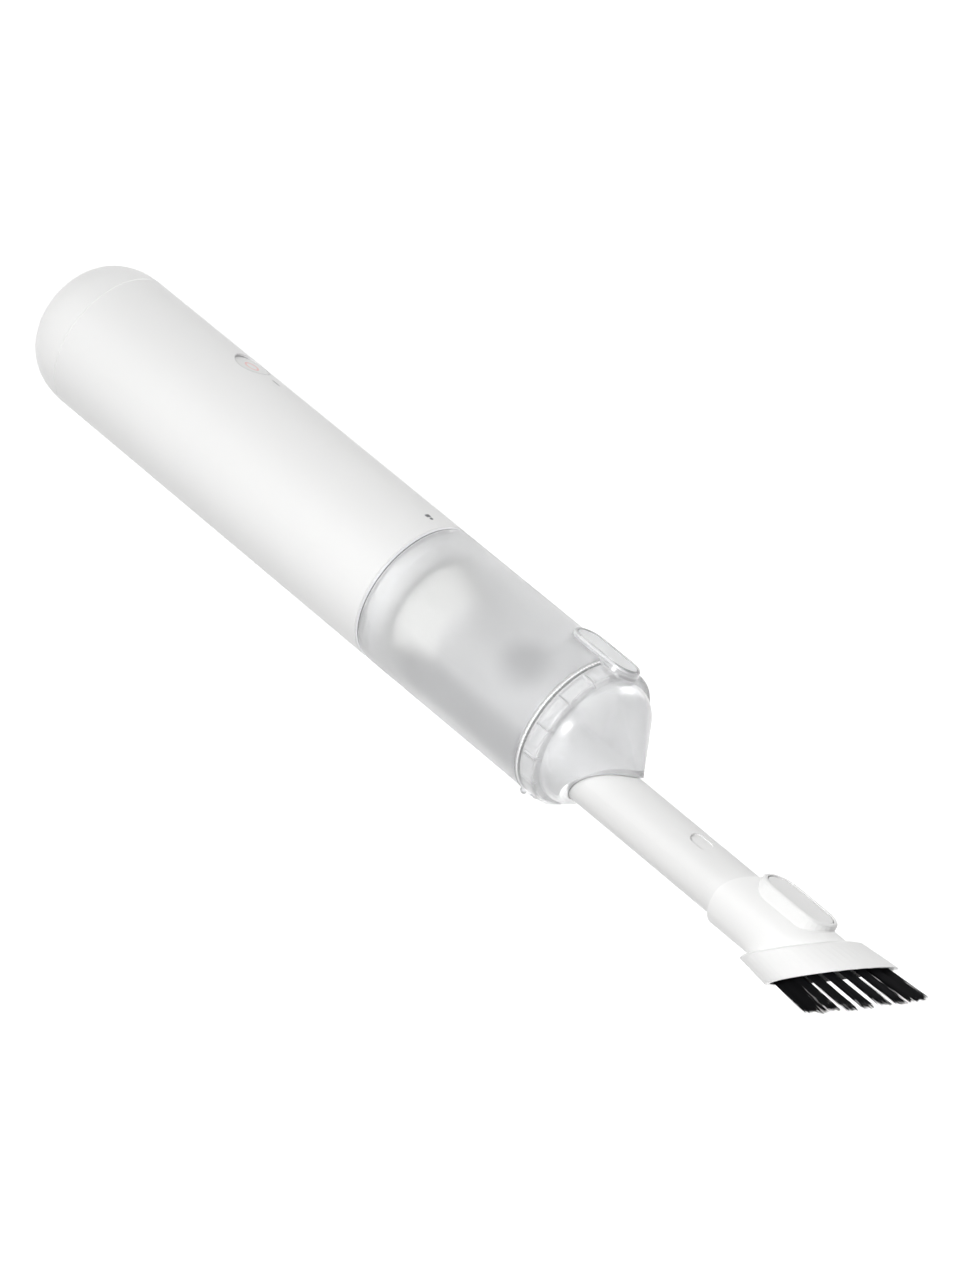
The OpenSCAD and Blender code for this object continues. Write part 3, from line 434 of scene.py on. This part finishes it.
# Bristles: tufts on the four sides of the slanted mouth; angles in degrees from +X round the nozzle
SIDES = ("right", "bottom", "left", "top")
TUFTS_PER_SIDE = 5
TUFT_STEP = 360 / (len(SIDES) * TUFTS_PER_SIDE)
TUFT_TURN = -5.3
TUFT_RING_X = 15.8
TUFT_RING_Y = 13.0
TUFT_LENGTH = 24.3
TUFT_LENGTH_CHANGE = 0.5
STRANDS = 70
STRAND_SHORTER = 1.9
STRAND_LONGER = 1.1
# Radius of a bristle at its foot, its bend and its tip, and the directions of its three edges
STRAND_RADII = (0.11, 0.1, 0.075)
STRAND_EDGES = (0.3, 2.39, 4.49)
FOOT_RADIUS = 1.35
FOOT_SINK = 0.5
TIP_SPREAD = 1.25
LEAN = math.tan(math.radians(3.2))
SWAY = 0.35
BEND = 0.4
GOLDEN_ANGLE = math.pi * (3 - math.sqrt(5))
# How far forward the mouth lies, and how much longer a bristle is, for each millimetre towards -Y
SLANT = 1.09
LENGTH_GAIN = 0.02
# The ring-shaped bed that the tufts stand in, and the angle left free at the ends of each side
BED_AHEAD_OF_ROCKER = 19.7
BED_Z = ROCKER_Z + BED_AHEAD_OF_ROCKER
BED_BORE = 11.6
BED_HALF_X = 18.0
BED_HALF_Y = 14.4
BED_DEPTH = 2.0
BED_ROUNDING = 0.3
BED_RIM = 0.4
BED_STEPS = 24
BED_GAP = 0.4


def mouth_point(x, y, z):
    """A point measured from the middle of the bed, along the body's axes."""
    return Vector((x, y + NOZZLE_Y, z + BED_Z))


def add_strand(bm, foot, tip, sway):
    """One bristle, a thin three-sided tube, bent at its middle against its sway."""
    middle = (foot + tip) / 2 - sway * BEND
    rows = []
    for spot, radius in zip((foot, middle, tip), STRAND_RADII):
        edges = [spot + Vector(polar(radius, angle, 0)) for angle in STRAND_EDGES]
        rows.append(row_of(bm, [mouth_point(*edge) for edge in edges]))
    skin(bm, rows)


def tufts(side, first):
    """The loose tufts on one side of the mouth."""
    bm = bmesh.new()
    rng = random.Random(first * 17 + 93)
    for i in range(TUFTS_PER_SIDE):
        angle = math.radians((first + i + 0.5) * TUFT_STEP + TUFT_TURN)
        x = TUFT_RING_X * math.cos(angle)
        y = TUFT_RING_Y * math.sin(angle)
        tuft_length = TUFT_LENGTH + rng.uniform(-TUFT_LENGTH_CHANGE, TUFT_LENGTH_CHANGE)
        for k in range(STRANDS):
            dx, dy, _ = polar(FOOT_RADIUS * math.sqrt((k + 0.5) / STRANDS), k * GOLDEN_ANGLE, 0)
            length = tuft_length + rng.uniform(-STRAND_SHORTER, STRAND_LONGER) - LENGTH_GAIN * (y + dy)
            sway = Vector((rng.uniform(-SWAY, SWAY), rng.uniform(-SWAY, SWAY), 0))
            foot = Vector((x + dx, y + dy, -SLANT * (y + dy) - FOOT_SINK))
            tip_x = x + TIP_SPREAD * dx + length * LEAN * math.cos(angle) + sway.x
            tip_y = y + TIP_SPREAD * dy + length * LEAN * math.sin(angle) + sway.y
            add_strand(bm, foot, Vector((tip_x, tip_y, length - SLANT * tip_y)), sway)
    return piece("tufts_" + side, bm, "brush", "bristle", replaced="bristles_" + side)


def bed(side, first):
    """The slanted bed under one side's tufts, with a rounded rim."""
    bm = bmesh.new()
    start = first * TUFT_STEP + BED_GAP
    sweep = TUFTS_PER_SIDE * TUFT_STEP - 2 * BED_GAP
    profile = (
        (BED_BORE, BED_BORE, -BED_DEPTH),
        (BED_BORE, BED_BORE, -BED_ROUNDING),
        (BED_BORE + BED_ROUNDING, BED_BORE + BED_ROUNDING, 0.0),
        (BED_HALF_X - BED_RIM, BED_HALF_Y - BED_RIM, 0.0),
        (BED_HALF_X, BED_HALF_Y, -BED_ROUNDING),
        (BED_HALF_X, BED_HALF_Y, -BED_DEPTH),
    )
    rows = []
    for i in range(BED_STEPS + 1):
        angle = math.radians(start + sweep * i / BED_STEPS)
        points = []
        for half_x, half_y, z in profile:
            y = half_y * math.sin(angle)
            points.append(mouth_point(half_x * math.cos(angle), y, z - SLANT * y))
        rows.append(row_of(bm, points))
    skin(bm, rows)
    return piece("bed_" + side, bm, "brush", "bristle")


for quarter, side in enumerate(SIDES):
    first = (quarter - 0.5) * TUFTS_PER_SIDE
    tufts(side, first)
    bed(side, first)


# Painted shade round the buttons: grey strips in the power button's gap and on the rim of its hole,
# and the oblong strips in the middle of the other gaps, standing in for the shade in these gaps
POWER_GAP_R = 7.35
POWER_LINE_R = 7.66
BUTTON_PLAY = 0.3
# How suddenly a painted shadow crescent narrows away from the ends of its line
SHADOW_CRESCENT_POWER = 5


def oblong_line(length, width, steps=20):
    """Points of an oblong with round ends, its length along the second axis."""
    radius = width / 2
    reach = (length - width) / 2
    points = []
    for end, start in ((1, 0.0), (-1, math.pi)):
        for i in range(steps + 1):
            angle = start + math.pi * i / steps
            points.append((radius * math.cos(angle), end * reach + radius * math.sin(angle)))
    return points


def button_line(node):
    """An oblong line in the gap around a CAD button."""
    size = box_size(node)
    return oblong_line(size.z + BUTTON_PLAY, size.x + BUTTON_PLAY)


def circle_line(radius, steps=48):
    return [polar(radius, 2 * math.pi * i / steps, 0)[:2] for i in range(steps)]


def shade_strip(name, line, body, mat, middle_z, low, high,
               half_width=0.08, axis_y=0.0, bent=False, swell=0.0):
    """A thin closed strip along a line on the button side, between two heights above an axis.

    A bent strip follows the round body, and swell widens it outwards to a crescent of painted shadow at both
    ends.
    """
    bm = bmesh.new()
    end_z = max(z for _, z in line)
    rows = []
    for i, (x, z) in enumerate(line):
        before_x, before_z = line[i - 1]
        after_x, after_z = line[(i + 1) % len(line)]
        along = Vector((after_x - before_x, after_z - before_z)).normalized()
        drop = BODY_R - math.sqrt(BODY_R ** 2 - x ** 2) if bent else 0.0
        edge = half_width + swell * abs(z / end_z) ** SHADOW_CRESCENT_POWER
        points = []
        for off, height in ((-half_width, low), (edge, low), (edge, high), (-half_width, high)):
            points.append((x + along.y * off, axis_y - height + drop, middle_z + z - along.x * off))
        rows.append(row_of(bm, points))
    skin_ring(bm, rows)
    return piece(name, bm, body, "inner_plastic", mat)


shade_strip("power_gap_shade", circle_line(POWER_GAP_R), "housing", PAINTED_SHADE_GREY, POWER_Z,
           low=BODY_R - 1.6, high=BODY_R - 0.65, half_width=0.09, bent=True)
shade_strip("power_rim_shade", circle_line(POWER_LINE_R), "housing", PAINTED_SHADE_GREY, POWER_Z,
           low=BODY_R - 0.2, high=BODY_R + 0.03, bent=True)
# The release button's strip is painted shadow, widening to dark crescents at its ends
shade_strip("release_gap_shade", button_line("release_button"), "cup", PRINT_AND_PAINTED_SHADE, RELEASE_Z,
           low=BODY_R + 0.5, high=BODY_R + 0.82, swell=0.7)
shade_strip("rocker_gap_shade", button_line("brush_button"), "brush", PAINTED_SHADE_GREY, ROCKER_Z,
           low=12.6, high=14.3, axis_y=NOZZLE_Y)


# Rings round the body's axis: a dark strip of painted shade in the cup's seam, the filter's rim and the
# beads on the cover's edge
def turned_ring(name, body, slot, mat, base_z, profile, start=0.0, sweep=360.0, steps=160):
    """A ring, whole or part, from a closed profile of radii and heights above base_z."""
    bm = bmesh.new()
    whole = sweep >= 360.0
    rows = []
    for i in range(steps if whole else steps + 1):
        angle = math.radians(start + sweep * i / steps)
        rows.append(row_of(bm, [polar(radius, angle, base_z + height) for radius, height in profile]))
    if whole:
        skin_ring(bm, rows)
    else:
        skin(bm, rows[::-1])
    return piece(name, bm, body, slot, mat, smooth=whole)


SEAM_SHADE_PROFILE = ((28.9, 0.1), (29.75, 0.1), (29.75, 0.32), (28.9, 0.32))
RIM_PROFILE = ((21.4, 0.06), (26.4, 0.06), (26.3, 0.4), (25.4, 1.1), (23.4, 2.1), (21.2, 2.8))
BEAD_PROFILE = ((27.6, 0.1), (29.7, 0.1), (29.85, 0.24), (29.7, 0.38), (27.6, 0.38))
BEAD_STARTS = {"lid_bead_a": -72.0, "lid_bead_b": 107.0}
BEAD_SWEEP = 145.0
BEAD_STEPS = 120

# The cup's seam ring is painted shade: a dark strip in the gap
turned_ring("cup_seam_shade", "housing", "inner_plastic", PAINTED_SHADE_DARK, TRIM_END, SEAM_SHADE_PROFILE)
# The filter's rim takes the darker white, painted shade for a part inside the cup
turned_ring("filter_rim", "housing", "white_shell", SHADED_INNER_WHITE, NECK_END, RIM_PROFILE)
for name, start in BEAD_STARTS.items():
    turned_ring(name, "cover", "clear_cover", SILICONE, CUP_END, BEAD_PROFILE, start, BEAD_SWEEP, BEAD_STEPS)


# Short ribs in the cover's band, each with a narrow crest on a wider foot, grey as painted shade for the
# lines the ribs show through the band; angles in degrees from +X
RIB_PAIRS = 6
RIB_START = 11.0
RIB_STEP = 25.0
RIB_FOOT_R = 29.4
RIB_ARC_R = 29.6
RIB_HALF_FOOT = 0.22
RIB_HALF_CREST = 0.16
# Heights above the cup's end, each with the radius of the crest there
RIB_CREST = ((3.1, 29.62), (5.9, 29.66), (8.7, 29.62))
BUTTON_SIDE = -90.0


def add_rib(bm, angle):
    rows = []
    for height, crest_r in RIB_CREST:
        points = []
        for off, radius in ((-RIB_HALF_FOOT, RIB_FOOT_R), (-RIB_HALF_CREST, crest_r),
                            (RIB_HALF_CREST, crest_r), (RIB_HALF_FOOT, RIB_FOOT_R)):
            points.append(polar(radius, angle + off / RIB_ARC_R, CUP_END + height))
        rows.append(row_of(bm, points))
    skin(bm, rows)


def cover_ribs():
    """The outer edges of the ribs, in pairs on both sides of the release button, in grey painted shade."""
    bm = bmesh.new()
    for i in range(1, RIB_PAIRS + 1):
        for side in (-1, 1):
            add_rib(bm, math.radians(BUTTON_SIDE + side * (RIB_START + RIB_STEP * i)))
    return piece("cover_ribs", bm, "cover", "clear_cover", PAINTED_SHADE_GREY)


cover_ribs()

# Painted shade round the nozzle, a dark line standing in for the shade in its joint: it stands out of the
# nose by its lift and reaches into it by its sinks
SOCKET_INNER_R = 11.16
SOCKET_OUTER_R = 11.44
SOCKET_LIFT = 0.04
SOCKET_INNER_SINK = 0.5
SOCKET_OUTER_SINK = 0.4
SOCKET_STEPS = 120
RAY_START = 10
NOSE_END = far_corner("front_cover").z
TOWARDS_REAR = Vector((0, 0, -1))


def nose_height(radius, angle):
    """How far forward the clear nose reaches at a place round the nozzle's axis."""
    start = Vector(polar(radius, angle, NOSE_END + RAY_START, NOZZLE_Y)) * MM
    _, spot, _, _ = nodes["front_cover"].ray_cast(start, TOWARDS_REAR)
    return spot.z / MM


def socket_shade_line():
    """A dark line of painted shade where the nozzle enters the nose, laid on the mouth of its socket."""
    bm = bmesh.new()
    profile = ((SOCKET_INNER_R, -SOCKET_INNER_SINK), (SOCKET_INNER_R, SOCKET_LIFT),
               (SOCKET_OUTER_R, SOCKET_LIFT), (SOCKET_OUTER_R, -SOCKET_OUTER_SINK))
    rows = []
    for i in range(SOCKET_STEPS):
        angle = 2 * math.pi * i / SOCKET_STEPS
        points = []
        for radius, height in profile:
            z = nose_height(radius + SOCKET_LIFT, angle) + height
            points.append(polar(radius, angle, z, NOZZLE_Y))
        rows.append(row_of(bm, points))
    skin_ring(bm, rows)
    return piece("socket_shade_line", bm, "cover", "inner_plastic", PAINTED_SHADE_DARK)


socket_shade_line()

# The lock mark printed on the body beside the cup's seam: a bar and a dot, turned off the button side
LOCK_Z = BODY_END - 7.2
LOCK_TURN = 12.0
BAR_HALF_WIDTH = 1.1
BAR_LOW = -1.75
BAR_HIGH = -0.05
DOT_R = 0.75
DOT_Z = 1.2
DOT_STEPS = 16
PAINT_SINK = 0.1
PAINT_LIFT = 0.03
PAINT_TAPER = 0.97


def lock_paint():
    """The printed bar and dot over their engraving, bent to the body tube."""
    bm = bmesh.new()
    bar = [(-BAR_HALF_WIDTH, BAR_LOW), (BAR_HALF_WIDTH, BAR_LOW),
           (BAR_HALF_WIDTH, BAR_HIGH), (-BAR_HALF_WIDTH, BAR_HIGH)]
    dot = [(x, z + DOT_Z) for x, z in circle_line(DOT_R, DOT_STEPS)]
    middle = math.radians(BUTTON_SIDE + LOCK_TURN)
    for line in (bar, dot):
        low = [polar(BODY_R - PAINT_SINK, middle + x / BODY_R, LOCK_Z + z) for x, z in line]
        high = [polar(BODY_R + PAINT_LIFT, middle + x * PAINT_TAPER / BODY_R, LOCK_Z + z) for x, z in line]
        skin(bm, [row_of(bm, low), row_of(bm, high)])
    return piece("lock_paint", bm, "housing", "inner_plastic", PRINT_AND_PAINTED_SHADE)


lock_paint()

# Floor and world: grey in the light that falls on the part, white where they are seen; in metres
FLOOR_HALF = 9.0
FLOOR_DROP = 0.0002
FLOOR_COLOUR = (0.7, 0.7, 0.7)
FLOOR_GLOW = 0.75
AMBIENT = 0.22
WHITE_LIGHT = (1.0, 1.0, 1.0)


def floor_material():
    mat, tree, out = new_material("floor")
    matt = tree.nodes.new("ShaderNodeBsdfDiffuse")
    matt.inputs["Color"].default_value = opaque(FLOOR_COLOUR)
    glow = tree.nodes.new("ShaderNodeEmission")
    glow.inputs["Color"].default_value = opaque(WHITE_LIGHT)
    tree.links.new(maths(tree, "MULTIPLY", shown_rays(tree), FLOOR_GLOW), glow.inputs["Strength"])
    both = tree.nodes.new("ShaderNodeAddShader")
    tree.links.new(matt.outputs[0], both.inputs[0])
    tree.links.new(glow.outputs[0], both.inputs[1])
    tree.links.new(both.outputs[0], out.inputs[0])
    return mat


def add_floor():
    mesh = bpy.data.meshes.new("floor")
    corners = [(x * FLOOR_HALF, y * FLOOR_HALF, 0) for x, y in ((-1, -1), (1, -1), (1, 1), (-1, 1))]
    mesh.from_pydata(corners, [], [(0, 1, 2, 3)])
    mesh.materials.append(floor_material())
    floor = bpy.data.objects.new("floor", mesh)
    scene.collection.objects.link(floor)
    floor.location.z = -FLOOR_DROP


def background(tree, strength):
    node = tree.nodes.new("ShaderNodeBackground")
    node.inputs["Color"].default_value = opaque(WHITE_LIGHT)
    node.inputs["Strength"].default_value = strength
    return node


def add_world():
    world = bpy.data.worlds.new("world")
    world.use_nodes = True
    tree = world.node_tree
    tree.nodes.clear()
    out = tree.nodes.new("ShaderNodeOutputWorld")
    both = mix_shaders(tree, shown_rays(tree), background(tree, AMBIENT), background(tree, 1.0))
    tree.links.new(both.outputs[0], out.inputs[0])
    scene.world = world


add_floor()
add_world()

# Lamps, aimed at the middle of the part; distances and sizes in metres, power in watts
LAMP_AIM = Vector((0, 0, 0.24))


def area_lamp(name, direction, distance, width, height, power):
    data = bpy.data.lights.new(name, "AREA")
    data.shape = "RECTANGLE"
    data.size = width
    data.size_y = height
    data.energy = power
    lamp = bpy.data.objects.new(name, data)
    scene.collection.objects.link(lamp)
    away = Vector(direction).normalized()
    lamp.location = LAMP_AIM + away * distance
    lamp.rotation_mode = "QUATERNION"
    lamp.rotation_quaternion = away.to_track_quat("Z", "Y")


area_lamp("key", (1.0, -0.17, 0.12), distance=1.6, width=0.3, height=0.85, power=19.5)
area_lamp("side", (-0.66, -0.78, 0.1), distance=1.7, width=0.8, height=0.8, power=11.5)
area_lamp("back", (-1.0, 0.9, 0.3), distance=1.8, width=1.0, height=1.0, power=12.0)

scene.view_settings.view_transform = "Standard"
